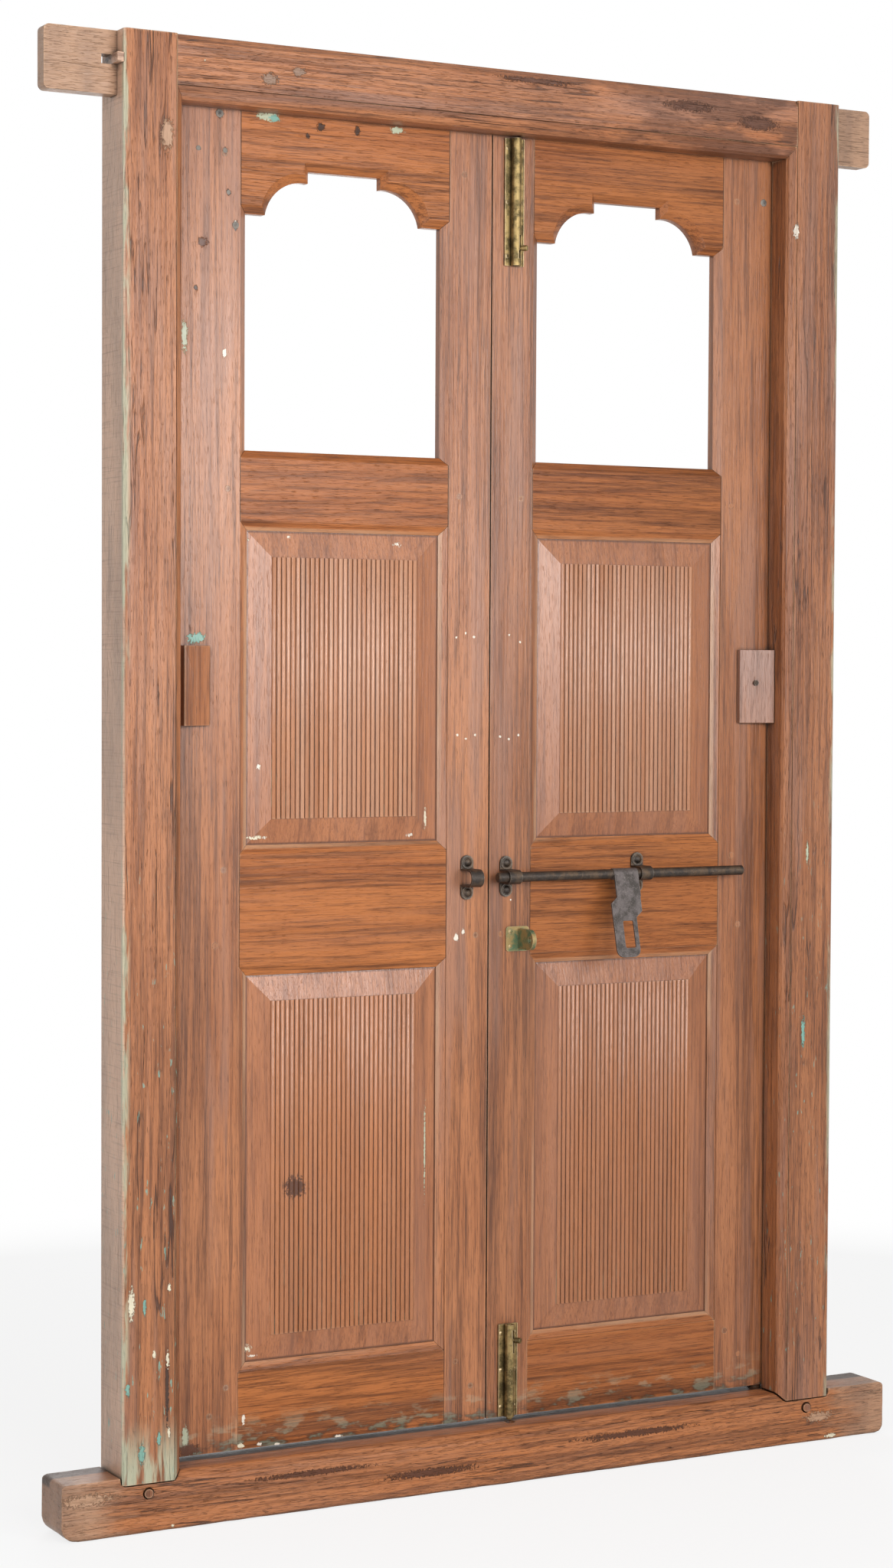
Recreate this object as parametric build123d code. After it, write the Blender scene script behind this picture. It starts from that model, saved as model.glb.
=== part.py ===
# Double-leaf wooden door in its own mortised frame, with an iron slide bolt and brass tower bolts.
# Millimetres. X runs to the right as seen from the front, Y runs to the back, Z is up.
# The origin is on the underside of the sill, on the centre of the opening, halfway through the frame.
from build123d import *
from math import cos, radians, sin
import os

os.makedirs("parts", exist_ok=True)

# Frame
opening_width = 1089.0
opening_height = 2065.0
frame_depth = 88.0
jamb_width = 98.0
head_height = 95.0
sill_height = 90.0
head_left_horn = 115.5
head_right_horn = 80.5
sill_left_horn = 99.0
sill_right_horn = 118.0
frame_gap = 0.3
head_arris_height = 11.0
head_arris_depth = 7.0
jamb_arris = 4.0
horn_corner = 9.0
sill_left_corner = 26.0
sill_right_corner = 16.0
sill_top_corner = 9.0

# Moulding that runs round the inner edge of the frame and mitres in its corners
moulding_width = 13.0
head_moulding_width = 18.5
moulding_lip = 1.2
moulding_shoulder_depth = 9.5
moulding_shoulder_share = 0.77
moulding_depth = 15.0
scribe_groove = 1.6

# Joints of the frame
bridle_front = 29.0
bridle_thickness = 26.0
sill_tenon_length = 52.0
sill_tenon_inset = 18.0
sill_peg_radius = 7.0
sill_peg_depth = 62.0
sill_peg_below_shoulder = 16.0
wedge_height = 14.0
wedge_width = 10.0
wedge_thin = 6.0
wedge_slot_length = 25.0
wedge_below_top = 43.0
wedge_front_inset = 2.0
wedge_back_inset = 16.0

# Leaves
leaf_thickness = 32.0
leaf_edge_gap = 0.5
leaf_face_gap = 0.5
leaf_bottom_gap = 5.5
leaf_head_lap = 9.0
head_rebate_height = 12.0
meeting_offset = 10.0
meeting_gap = 2.5
meeting_stile = 75.0
left_hanging_stile = 128.0
right_hanging_stile = 108.0
shoulder_gap = 0.3

# Heights on the leaves, from the underside of the sill, and drops from the nosing of the head
bottom_rail_top = 214.5
lock_rail_bottom = 846.0
lock_rail_height = 172.0
window_rail_bottom = 1532.0
window_rail_height = 96.0
left_shoulder_drop = 154.0
right_shoulder_drop = 162.0

# Stepped arch over each window
window_shoulder = 33.5
arch_reach = 73.0
arch_rise = 53.5
crown_step = 18.0
arch_splay = 0.2

# Sticking cut on the edges of the stiles and rails
window_moulding = 12.0
window_moulding_depth = 10.0
glazing_rebate_width = 8.0
glazing_rebate_depth = 8.0
panel_moulding = 15.0
panel_quirk = 1.5
panel_moulding_depth = 7.0

# Raised and reeded panels
groove_depth = 8.0
groove_front = 8.0
groove_thickness = 8.0
tongue_gap = 0.3
panel_margin = 40.0
panel_crest_above_face = 1.0
reed_count = 31
reed_height = 2.6

# Joints of the leaves
tenon_thickness = 10.0
tenon_front = 11.0
tenon_length = 56.0
tenon_shoulder = 14.0
mortise_gap = 0.25
mortise_end_gap = 1.0
peg_radius = 4.5
peg_depth = 27.0
peg_gap = 0.2
rail_peg_inset = 20.0
foot_peg_inset = 48.0
foot_peg_up = 57.0
top_peg_inset = 26.0
lock_peg_up = 34.0
meeting_lock_peg_inset = 53.0
hanging_lock_peg_inset = 40.0
upper_lock_peg_inset = 26.0
upper_lock_peg_down = 22.0
pivot_radius = 10.0
pivot_length = 18.0
pivot_gap = 0.3

# Wedge blocks nailed to the hanging stiles at mid height
block_bottom = 1218.0
block_height = 122.0
block_thick = 22.0
block_thin = 8.0
left_block_width = 49.0
left_block_inset = 14.5
right_block_width = 60.0
right_block_inset = 1.0
block_nail_radius = 2.0
block_nail_head = 4.5
block_nail_proud = 1.0
block_nail_head_height = 2.5
block_nail_length = 40.0
block_nail_across = 27.0
block_nail_up = 67.0

# Iron slide bolt
bar_radius = 8.0
bar_length = 467.0
bar_above_rail_bottom = 127.0
bar_stand_off = 26.0
bar_travel = 172.0
bar_thrown_tip = -160.0
bar_neck_radius = 6.0
bar_chamfer = 1.5
strap_gap = 0.4
keeper_gap = 3.2
strap_thickness = 3.0
strap_width = 22.0
lug_radius = 11.0
keeper_x = -30.5
middle_strap_x = 41.0
end_strap_x = 288.0
washer_radius = 10.0
washer_thickness = 1.5
rivet_radius = 3.0
rivet_head_radius = 7.0
rivet_head_height = 4.5
rivet_length = 24.0
rivet_gap = 0.2

# Hasp on the bar, and the staple that it drops over
hasp_lift = 14.0
hasp_thickness = 3.0
hasp_gap = 0.3
hasp_knuckle_start = 53.0
hasp_knuckle_width = 45.0
hasp_neck_drop = 40.0
hasp_drop = 139.0
hasp_left_flare = 12.0
hasp_right_inset = 1.0
hasp_waist_inset = 12.0
hasp_waist_drop = 64.0
hasp_chamfer = 10.0
hasp_end_radius = 13.0
slot_top_drop = 79.0
slot_height = 45.0
slot_width = 20.0
slot_from_left = 17.0
slot_corner = 3.0
staple_height = 33.0
staple_thickness = 7.0
staple_proud = 14.0
staple_eye_radius = 5.0
staple_eye_forward = 6.0
staple_tang_length = 20.0
staple_tang_height = 14.0
staple_plate_width = 42.0
staple_plate_height = 40.0
staple_plate_thickness = 2.0
staple_plate_side = 26.0
staple_plate_corner = 5.0
plate_pin_radius = 2.0
plate_pin_head = 3.6
plate_pin_head_height = 1.8
plate_pin_length = 14.0
plate_pin_inset = 8.0

# Brass tower bolts on the right meeting stile
bolt_x = 49.0
bolt_plate_width = 35.0
bolt_plate_thickness = 2.2
bolt_flange_bead = 1.4
bolt_rod_radius = 5.0
bolt_rod_gap = 0.35
bolt_barrel_radius = 8.0
bolt_axis_stand_off = 9.0
bolt_travel = 18.0
bolt_socket_side = 14.0
bolt_socket_depth = 21.0
bolt_end_gap = 2.5
bolt_tip_proud = 0.5
bolt_foot_gap = 1.5
bolt_web_half = 4.8
bolt_tail = 14.0
bolt_rod_chamfer = 1.0
top_bolt_length = 202.0
bottom_bolt_length = 150.0
top_knob_from_end = 27.0
bottom_knob_from_end = 25.0
knob_radius = 4.6
knob_reach = 17.0
knob_stem_radius = 2.6
knob_turn = 38.0
knob_slot_gap = 0.5
knob_head_stand_off = 1.2
knob_head_length = 10.8
knob_round = 1.8
knob_window_half = 4.2
knob_window_length = 16.0
screw_radius = 1.6
screw_head_radius = 3.4
screw_head_height = 1.3
screw_length = 16.0
screw_inset = 4.2
screw_end_inset = 15.0

# Places that follow from the sizes above
lock_rail_top = lock_rail_bottom + lock_rail_height
window_rail_top = window_rail_bottom + window_rail_height
bar_height = lock_rail_bottom + bar_above_rail_bottom
front = -frame_depth / 2
back = frame_depth / 2
nosing_x = opening_width / 2
groove_x = nosing_x + moulding_width
jamb_outer_x = nosing_x + jamb_width
sill_top = sill_height
jamb_bottom = sill_top - moulding_width
head_nosing = sill_top + opening_height
head_groove = head_nosing + head_moulding_width
frame_top = head_nosing + head_height
tenon_y0 = front + bridle_front
tenon_y1 = tenon_y0 + bridle_thickness
leaf_front = back - leaf_thickness
leaf_bottom = sill_top + leaf_bottom_gap
leaf_top = head_nosing + leaf_head_lap
hanging_x = groove_x - leaf_edge_gap
pivot_x = hanging_x - leaf_thickness / 2
pivot_y = leaf_front + leaf_thickness / 2
bar_y = leaf_front - bar_stand_off
bolt_y = leaf_front - bolt_axis_stand_off


def box(x0, x1, y0, y1, z0, z1):
    """A box between two corners."""
    centre = Pos((x0 + x1) / 2, (y0 + y1) / 2, (z0 + z1) / 2)
    return centre * Box(abs(x1 - x0), abs(y1 - y0), abs(z1 - z0))


def front_prism(points, y0, y1):
    """A straight-sided outline drawn on the front view, taken from y0 to y1."""
    outline = Plane.XZ * make_face(Polyline(*points, close=True))
    return Pos(0, y0, 0) * extrude(outline, amount=y1 - y0, dir=(0, 1, 0))


def plan_prism(points, z0, z1):
    """A straight-sided outline drawn on the plan, taken from z0 to z1."""
    outline = make_face(Polyline(*points, close=True))
    return Pos(0, 0, z0) * extrude(outline, amount=z1 - z0, dir=(0, 0, 1))


def side_prism(points, x0, x1):
    """A straight-sided outline drawn on the side view, as y and z, taken from x0 to x1."""
    outline = Plane.YZ * make_face(Polyline(*points, close=True))
    return Pos(x0, 0, 0) * extrude(outline, amount=x1 - x0, dir=(1, 0, 0))


def rod_y(x, z, radius, y0, y1):
    """A round bar that runs front to back."""
    return Pos(x, (y0 + y1) / 2, z) * Rot(90, 0, 0) * Cylinder(radius, abs(y1 - y0))


def rod_x(y, z, radius, x0, x1):
    """A round bar that runs left to right."""
    return Pos((x0 + x1) / 2, y, z) * Rot(0, 90, 0) * Cylinder(radius, abs(x1 - x0))


def rod_z(x, y, radius, z0, z1):
    """A round bar that runs up."""
    return Pos(x, y, (z0 + z1) / 2) * Cylinder(radius, abs(z1 - z0))


def on_side(part, side):
    """Parts are drawn for the right-hand side. The left-hand ones are their mirror image."""
    return mirror(part, about=Plane.YZ) if side == "left" else part


def save(name, *solids):
    """Write one node, as one solid or as a group of separate solids."""
    found = [s for part in solids for s in part.solids()]
    shape = found[0] if len(found) == 1 else Compound(children=found)
    export_step(shape, f"parts/{name}.step")


# Frame

def moulding_steps(width):
    """Depth of the frame moulding below the face, by distance from its outer line."""
    return [
        (0.0, moulding_lip),
        (moulding_shoulder_share * width, moulding_shoulder_depth),
        (width, moulding_depth),
    ]


def jamb(side):
    """One upright: a bridle for the head at its top, a housing foot and a tenon at its bottom."""
    outline = [
        (jamb_outer_x, jamb_bottom),
        (jamb_outer_x, frame_top),
        (groove_x, frame_top),
        (groove_x, head_groove),
        (nosing_x, head_nosing),
        (nosing_x, sill_top),
        (groove_x, jamb_bottom),
    ]
    post = front_prism(outline, front, back)
    post -= box(nosing_x, groove_x, leaf_front - leaf_face_gap, back, jamb_bottom, head_groove)
    steps = [(groove_x - t, front + d) for t, d in moulding_steps(moulding_width)]
    waste = [(groove_x, front - 1)] + steps + [(nosing_x, front - 1)]
    post -= plan_prism(waste, jamb_bottom, head_groove)
    groove = [
        (groove_x, front - 0.01),
        (groove_x + scribe_groove, front - 0.01),
        (groove_x + scribe_groove / 2, front + scribe_groove),
    ]
    post -= plan_prism(groove, jamb_bottom, frame_top)
    arris = [
        (jamb_outer_x - jamb_arris, front - 0.01),
        (jamb_outer_x + 0.01, front - 0.01),
        (jamb_outer_x + 0.01, front + jamb_arris),
    ]
    post -= plan_prism(arris, jamb_bottom, frame_top)
    post -= box(0, jamb_outer_x + 1, tenon_y0, tenon_y1, head_nosing, frame_top + 1)
    tenon = box(
        groove_x + sill_tenon_inset,
        jamb_outer_x - sill_tenon_inset,
        tenon_y0 + frame_gap,
        tenon_y1 - frame_gap,
        jamb_bottom - sill_tenon_length,
        jamb_bottom,
    )
    post += tenon
    post -= sill_peg_bore(frame_gap)
    return on_side(post, side)


def sill_peg_bore(grow):
    """The peg that pins the jamb's tenon in the sill, or the bore that it goes in."""
    x = (groove_x + jamb_outer_x) / 2
    z = jamb_bottom - sill_peg_below_shoulder
    start = front - (1 if grow else 0)
    return rod_y(x, z, sill_peg_radius + grow, start, front + sill_peg_depth + grow)


def head():
    """The head: moulded below, tenoned through both jambs, with horns that tie into the wall."""
    x = groove_x - frame_gap
    nose = nosing_x - frame_gap
    outline = [(x, frame_top), (x, head_groove), (nose, head_nosing)]
    outline += [(-a, z) for a, z in reversed(outline)]
    beam = front_prism(outline, front, back)
    rebate_top = head_nosing + head_rebate_height
    beam -= box(-x, x, leaf_front - leaf_face_gap, back, head_nosing, rebate_top)
    steps = [(front + d, head_groove - t) for t, d in moulding_steps(head_moulding_width)]
    waste = [(front - 1, head_groove)] + steps + [(front - 1, head_nosing)]
    beam -= side_prism(waste, -x, x)
    arris = [
        (front - 0.01, frame_top - head_arris_height),
        (front - 0.01, frame_top + 0.01),
        (front + head_arris_depth, frame_top + 0.01),
    ]
    beam -= side_prism(arris, -x, x)
    line = head_groove + scribe_groove / 2
    groove = [
        (front - 0.01, line - scribe_groove / 2),
        (front + scribe_groove, line),
        (front - 0.01, line + scribe_groove / 2),
    ]
    beam -= side_prism(groove, -x, x)
    horn_y = (tenon_y0 + frame_gap, tenon_y1 - frame_gap)
    left_end = -jamb_outer_x - head_left_horn
    right_end = jamb_outer_x + head_right_horn
    horns = box(left_end, -x, *horn_y, head_nosing + frame_gap, frame_top)
    horns += box(x, right_end, *horn_y, head_nosing + frame_gap, frame_top)
    for end in (left_end, right_end):
        corners = horns.edges().filter_by(Axis.Y).filter_by_position(Axis.X, end - 1, end + 1)
        horns = fillet(corners, horn_corner)
    beam += horns
    beam -= wedge_slot()
    for side in ("left", "right"):
        beam -= on_side(pivot_pin(leaf_top, pivot_gap, 1), side)
    beam -= bolt_socket(head_nosing, 1)
    return beam


def wedge_slot():
    """The slot through the left horn for its wedge, hard against the jamb."""
    x = -jamb_outer_x
    z = frame_top - wedge_below_top
    low = z - wedge_height / 2 - frame_gap
    high = z + wedge_height / 2 + frame_gap
    return box(x - wedge_slot_length, x, tenon_y0 - 1, tenon_y1 + 1, low, high)


def head_wedge():
    """The wedge that draws the left horn tight against the jamb."""
    x = -jamb_outer_x - frame_gap
    z = frame_top - wedge_below_top
    outline = [
        (x, front + wedge_front_inset),
        (x - wedge_width, front + wedge_front_inset),
        (x - wedge_thin, back - wedge_back_inset),
        (x, back - wedge_back_inset),
    ]
    return plan_prism(outline, z - wedge_height / 2, z + wedge_height / 2)


def sill():
    """The sill: housed for both jambs, with long worn horns."""
    left_end = -jamb_outer_x - sill_left_horn
    right_end = jamb_outer_x + sill_right_horn
    beam = box(left_end, right_end, front, back, 0, sill_top)
    for end, low in ((left_end, sill_left_corner), (right_end, sill_right_corner)):
        ends = beam.edges().filter_by(Axis.Y).filter_by_position(Axis.X, end - 1, end + 1)
        ends = ends.sort_by(Axis.Z)
        beam = fillet(ends[0], low)
        ends = beam.edges().filter_by(Axis.Y).filter_by_position(Axis.Z, sill_top - 1, sill_top + 1)
        ends = ends.sort_by(Axis.X)
        beam = fillet(ends[0] if end < 0 else ends[-1], sill_top_corner)
    x = nosing_x - frame_gap
    steps = [(front + d, jamb_bottom + t) for t, d in moulding_steps(moulding_width)]
    waste = [(front - 1, jamb_bottom)] + steps + [(front - 1, sill_top)]
    beam -= side_prism(waste, -groove_x, groove_x)
    housing = [
        (jamb_outer_x + frame_gap, sill_top + 1),
        (jamb_outer_x + frame_gap, jamb_bottom),
        (groove_x - frame_gap, jamb_bottom),
        (x, sill_top),
        (x, sill_top + 1),
    ]
    front_cut = front_prism(housing, front - 1, leaf_front - leaf_face_gap)
    back_cut = box(
        groove_x - frame_gap, jamb_outer_x + frame_gap,
        leaf_front - leaf_face_gap - 1, back + 1, jamb_bottom, sill_top + 1,
    )
    mortise = box(
        groove_x + sill_tenon_inset - frame_gap,
        jamb_outer_x - sill_tenon_inset + frame_gap,
        tenon_y0,
        tenon_y1,
        jamb_bottom - sill_tenon_length - mortise_end_gap,
        jamb_bottom + 1,
    )
    for side in ("left", "right"):
        beam -= on_side(front_cut, side)
        beam -= on_side(back_cut, side)
        beam -= on_side(mortise, side)
        beam -= on_side(sill_peg_bore(frame_gap), side)
        beam -= on_side(pivot_pin(leaf_bottom, pivot_gap, -1), side)
    beam -= bolt_socket(sill_top, -1)
    return beam


def bolt_socket(z, up):
    """The square socket that a tower bolt shoots into."""
    half = bolt_socket_side / 2
    low, high = sorted((z - up, z + up * bolt_socket_depth))
    return box(bolt_x - half, bolt_x + half, bolt_y - half, bolt_y + half, low, high)


# Leaves

def pivot_pin(z, grow, up):
    """The round pivot on the end of a hanging stile, or the socket that it turns in."""
    length = pivot_length + leaf_bottom_gap
    low, high = sorted((z - up, z + up * (length + grow)))
    return rod_z(pivot_x, pivot_y, pivot_radius + grow, low, high)


class Leaf:
    """The lines that the members of one leaf are set out from, drawn for the right-hand side."""

    def __init__(self, side):
        self.side = side
        left = side == "left"
        offset = -meeting_offset if left else meeting_offset
        self.meeting_x = offset + meeting_gap / 2
        self.hanging_width = left_hanging_stile if left else right_hanging_stile
        self.inner = self.meeting_x + meeting_stile
        self.outer = hanging_x - self.hanging_width
        self.shoulder = head_nosing - (left_shoulder_drop if left else right_shoulder_drop)
        self.panels = [(bottom_rail_top, lock_rail_bottom), (lock_rail_top, window_rail_bottom)]

    def sight(self, low, high):
        """The clear opening inside the sticking of a panel."""
        m = panel_moulding
        return self.inner + m, self.outer - m, low + m, high - m

    def panel_sticking(self, low, high):
        """What the sticking round a panel removes: a small quirk, then a slope."""
        x0, x1, z0, z1 = self.sight(low, high)
        m = panel_moulding
        quirk = box(x0 - m, x1 + m, leaf_front - 1, leaf_front + panel_quirk, z0 - m, z1 + m)
        grow = m - panel_quirk
        wide = rectangle_wire(x0 - grow, x1 + grow, z0 - grow, z1 + grow, leaf_front + panel_quirk)
        tight = rectangle_wire(x0, x1, z0, z1, leaf_front + panel_moulding_depth)
        return quirk + Solid.make_loft([wide, tight], ruled=True)

    def panel_groove(self, low, high):
        x0, x1, z0, z1 = self.sight(low, high)
        g = groove_depth
        y0 = leaf_front + groove_front
        return box(x0 - g, x1 + g, y0, y0 + groove_thickness, z0 - g, z1 + g)

    def window_outline(self, grow):
        """The window's clear outline, from its lower inner corner round to its lower outer one."""
        m = window_moulding
        x0, x1 = self.inner + m - grow, self.outer - m + grow
        z0 = window_rail_top + m - grow
        low = self.shoulder + grow
        reach_x = x0 + window_shoulder + grow * arch_splay
        crown_x = reach_x + arch_reach
        crown = low + arch_rise
        top = crown + crown_step
        bend = (reach_x + arch_reach * (1 - cos(radians(45))), low + arch_rise * sin(radians(45)))
        left = [(x0, z0), (x0, low), (reach_x, low)]
        arch = [(reach_x, low), bend, (crown_x, crown)]
        step = [(crown_x, crown), (crown_x, top)]
        right, right_arch, right_step = (
            [(x0 + x1 - x, z) for x, z in reversed(points)] for points in (left, arch, step)
        )
        lines = Polyline(*left) + ThreePointArc(*arch) + Polyline(*step, *right_step)
        lines += ThreePointArc(*right_arch) + Polyline(*right, left[0])
        return make_face(lines)

    def window_cut(self):
        """The window opening, its sloped sticking in front and the glazing rebate behind."""
        depth = window_moulding_depth
        sight = Plane.XZ * self.window_outline(0)
        cut = Pos(0, leaf_front - 1, 0) * extrude(sight, amount=leaf_thickness + 2, dir=(0, 1, 0))
        outer = Pos(0, leaf_front - 0.01, 0) * (Plane.XZ * self.window_outline(window_moulding))
        inner = Pos(0, leaf_front + depth, 0) * sight
        cut += Solid.make_loft([outer.wire(), inner.wire()], ruled=True)
        rebate = Plane.XZ * self.window_outline(glazing_rebate_width)
        cut += Pos(0, back - glazing_rebate_depth, 0) * extrude(
            rebate, amount=glazing_rebate_depth + 1, dir=(0, 1, 0)
        )
        return cut

    def tenons(self, grow):
        """Both tenons of each rail, or with grow the mortises for them."""
        rails = {
            "bottom_rail": (leaf_bottom, bottom_rail_top),
            "lock_rail": (lock_rail_bottom, lock_rail_top),
            "window_rail": (window_rail_bottom, window_rail_top),
            "top_rail": (self.shoulder + window_moulding, leaf_top),
        }
        y0 = leaf_front + tenon_front - grow
        y1 = leaf_front + tenon_front + tenon_thickness + grow
        end = mortise_end_gap if grow else 0
        length = tenon_length + end
        found = {}
        for name, (low, high) in rails.items():
            z = (low + tenon_shoulder - grow, high - tenon_shoulder + grow)
            found[name] = box(self.inner - length, self.inner + 1, y0, y1, *z)
            found[name] += box(self.outer - 1, self.outer + length, y0, y1, *z)
        return found

    def peg_places(self):
        """Where the draw-bore pegs are, set in from the shoulders of the rails."""
        top = (self.shoulder + window_moulding + leaf_top) / 2
        middle = (window_rail_bottom + window_rail_top) / 2
        both = [
            (rail_peg_inset, bottom_rail_top - rail_peg_inset),
            (foot_peg_inset, leaf_bottom + foot_peg_up),
            (rail_peg_inset, middle),
            (top_peg_inset, top),
        ]
        lock_z = lock_rail_bottom + lock_peg_up
        meeting = both + [(meeting_lock_peg_inset, lock_z)]
        hanging = both + [(hanging_lock_peg_inset, lock_z)]
        hanging += [(upper_lock_peg_inset, lock_rail_top - upper_lock_peg_down)]
        places = [(self.inner - inset, z) for inset, z in meeting]
        return places + [(self.outer + inset, z) for inset, z in hanging]

    def pegs(self, grow):
        start = leaf_front - (1 if grow else 0)
        end = leaf_front + peg_depth + grow
        return [rod_y(x, z, peg_radius + grow, start, end) for x, z in self.peg_places()]

    def stile(self, hanging):
        """One upright member, with the strips of sticking that belong to it."""
        line = self.outer if hanging else self.inner
        edge = hanging_x if hanging else self.meeting_x
        inward = -1 if hanging else 1
        outline = [(edge, leaf_bottom), (line, leaf_bottom)]
        window = (window_rail_top, self.shoulder + window_moulding, window_moulding)
        strips = [(low, high, panel_moulding) for low, high in self.panels] + [window]
        for low, high, m in strips:
            x = line + inward * m
            outline += [(line, low), (x, low + m), (x, high - m), (line, high)]
        outline += [(line, leaf_top), (edge, leaf_top)]
        post = front_prism(outline, leaf_front, back)
        for low, high in self.panels:
            post -= self.panel_sticking(low, high)
            post -= self.panel_groove(low, high)
        post -= self.window_cut()
        for mortise in self.tenons(mortise_gap).values():
            post -= mortise
        if hanging:
            square = box(pivot_x, hanging_x + 1, leaf_front - 1, back + 1, leaf_bottom - 1, leaf_top + 1)
            post -= square - rod_z(pivot_x, pivot_y, leaf_thickness / 2, leaf_bottom - 2, leaf_top + 2)
            post += pivot_pin(leaf_bottom, 0, -1) + pivot_pin(leaf_top, 0, 1)
        for peg in self.pegs(peg_gap):
            post -= peg
        return post

    def rail(self, name, low, high, below, above):
        """One cross member. below and above are the moulding widths on its two edges."""
        x0, x1 = self.inner + shoulder_gap, self.outer - shoulder_gap
        outline = [(x0, low), (x0, high)]
        if above:
            outline += [(x0 + above, high + above), (x1 - above, high + above)]
        outline += [(x1, high), (x1, low)]
        if below:
            outline += [(x1 - below, low - below), (x0 + below, low - below)]
        beam = front_prism(outline, leaf_front, back)
        beam += self.tenons(0)[name]
        for panel in self.panels:
            if low in panel or high in panel:
                beam -= self.panel_sticking(*panel)
                beam -= self.panel_groove(*panel)
        if high >= window_rail_top:
            beam -= self.window_cut()
        for peg in self.pegs(peg_gap):
            beam -= peg
        return beam

    def rails(self):
        crown = self.shoulder + window_moulding
        m = panel_moulding
        return {
            "bottom_rail": self.rail("bottom_rail", leaf_bottom, bottom_rail_top, 0, m),
            "lock_rail": self.rail("lock_rail", lock_rail_bottom, lock_rail_top, m, m),
            "window_rail": self.rail(
                "window_rail", window_rail_bottom, window_rail_top, m, window_moulding
            ),
            "top_rail": self.rail("top_rail", crown, leaf_top, window_moulding, 0),
        }

    def panel(self, low, high):
        """A raised panel: a tongue all round, a wide slope, and a field of upright reeds."""
        x0, x1, z0, z1 = self.sight(low, high)
        g = groove_depth - tongue_gap
        y0 = leaf_front + groove_front + tongue_gap
        y1 = leaf_front + groove_front + groove_thickness - tongue_gap
        board = box(x0 - g, x1 + g, y0, y1, z0 - g, z1 + g)
        m = panel_margin
        fx0, fx1, fz0, fz1 = x0 + m, x1 - m, z0 + m, z1 - m
        valley = leaf_front - panel_crest_above_face + reed_height
        foot = rectangle_wire(x0 + 0.5, x1 - 0.5, z0 + 0.5, z1 - 0.5, y0)
        slope = Solid.make_loft([foot, rectangle_wire(fx0, fx1, fz0, fz1, valley)], ruled=True)
        return board + slope + self.reeds(fx0, fx1, fz0, fz1, valley)

    def reeds(self, x0, x1, z0, z1, valley):
        """Half-round reeds side by side over the whole field."""
        pitch = (x1 - x0) / reed_count
        crest = valley - reed_height
        lines = Polyline((x1, valley), (x1, valley + 1), (x0, valley + 1), (x0, valley))
        for i in range(reed_count):
            a = x0 + i * pitch
            lines += ThreePointArc((a, valley), (a + pitch / 2, crest), (a + pitch, valley))
        return Pos(0, 0, z0) * extrude(make_face(lines), amount=z1 - z0, dir=(0, 0, 1))


def rectangle_wire(x0, x1, z0, z1, y):
    """A rectangle on the front view at depth y."""
    points = [(x0, y, z0), (x1, y, z0), (x1, y, z1), (x0, y, z1)]
    return Wire(Polyline(*points, close=True).edges())


def block_range(side):
    """Where a wedge block starts and ends, measured out from the centre."""
    left = side == "left"
    end = nosing_x - (left_block_inset if left else right_block_inset)
    return end - (left_block_width if left else right_block_width), end


def wedge_block(side):
    """A tapered block on the face of the hanging stile, thick towards the jamb."""
    start, end = block_range(side)
    y = leaf_front
    outline = [(start, y), (start, y - block_thin), (end, y - block_thick), (end, y)]
    wedge = plan_prism(outline, block_bottom, block_bottom + block_height)
    return wedge - block_nail(peg_gap) if side == "right" else wedge


def block_nail(grow):
    """The nail through the right-hand block, standing a little proud, or the hole for it."""
    start, end = block_range("right")
    x = start + block_nail_across
    z = block_bottom + block_nail_up
    rise = (block_thick - block_thin) * block_nail_across / (end - start)
    face = leaf_front - block_thin - rise
    seat = face - block_nail_proud
    shank = rod_y(x, z, block_nail_radius + grow, seat - 1, face + block_nail_length)
    if grow:
        return shank
    return shank + rod_y(x, z, block_nail_head, seat - block_nail_head_height, seat)


# Slide bolt

def rivet_spread(gap):
    """How far a strap's rivets lie above and below the bar, clear of its legs."""
    return bar_radius + gap + strap_thickness + washer_radius + shoulder_gap


def strap(x, gap):
    """An iron strap: two round lugs and a bow that stands off the leaf over the bar."""
    inner = bar_radius + gap
    outer = inner + strap_thickness
    x0, x1 = x - strap_width / 2, x + strap_width / 2
    z = bar_height
    legs = box(x0, x1, bar_y, leaf_front, z - outer, z + outer)
    bow = legs + rod_x(bar_y, z, outer, x0, x1)
    bow -= box(x0 - 1, x1 + 1, bar_y, leaf_front + 1, z - inner, z + inner)
    bow -= rod_x(bar_y, z, inner, x0 - 1, x1 + 1)
    y0 = leaf_front - strap_thickness
    for up in (-1, 1):
        rivet_z = z + up * rivet_spread(gap)
        lug = box(x0, x1, y0, leaf_front, *sorted((z + up * inner, rivet_z)))
        lug += rod_y(x, rivet_z, lug_radius, y0, leaf_front)
        bow += lug
    for hole in strap_rivets(x, gap, rivet_gap):
        bow -= hole
    return bow


def strap_rivets(x, gap, grow):
    """The two rivets of a strap, or the holes that they go through."""
    found = []
    seat = leaf_front - strap_thickness - washer_thickness
    for up in (-1, 1):
        z = bar_height + up * rivet_spread(gap)
        shank = rod_y(x, z, rivet_radius + grow, seat - 1, leaf_front + rivet_length + grow)
        if not grow:
            shank += dome(x, z, seat, rivet_head_radius, rivet_head_height)
        found.append(shank)
    return found


def dome(x, z, y, radius, height):
    """A low round head that stands forward of y."""
    big = (radius**2 + height**2) / (2 * height)
    ball = Pos(x, y - height + big, z) * Sphere(big)
    return ball & box(x - radius - 1, x + radius + 1, y - height - 1, y, z - radius - 1, z + radius + 1)


def strap_washers(x, gap):
    """Round washers between the lugs and the rivet heads."""
    y1 = leaf_front - strap_thickness
    found = []
    for up in (-1, 1):
        z = bar_height + up * rivet_spread(gap)
        ring = rod_y(x, z, washer_radius, y1 - washer_thickness, y1)
        found.append(ring - rod_y(x, z, rivet_radius + rivet_gap, y1 - 9, y1 + 1))
    return found


def drawn(x):
    """Where a point of the bar lies once the bar is drawn back."""
    return x + bar_travel


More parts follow.
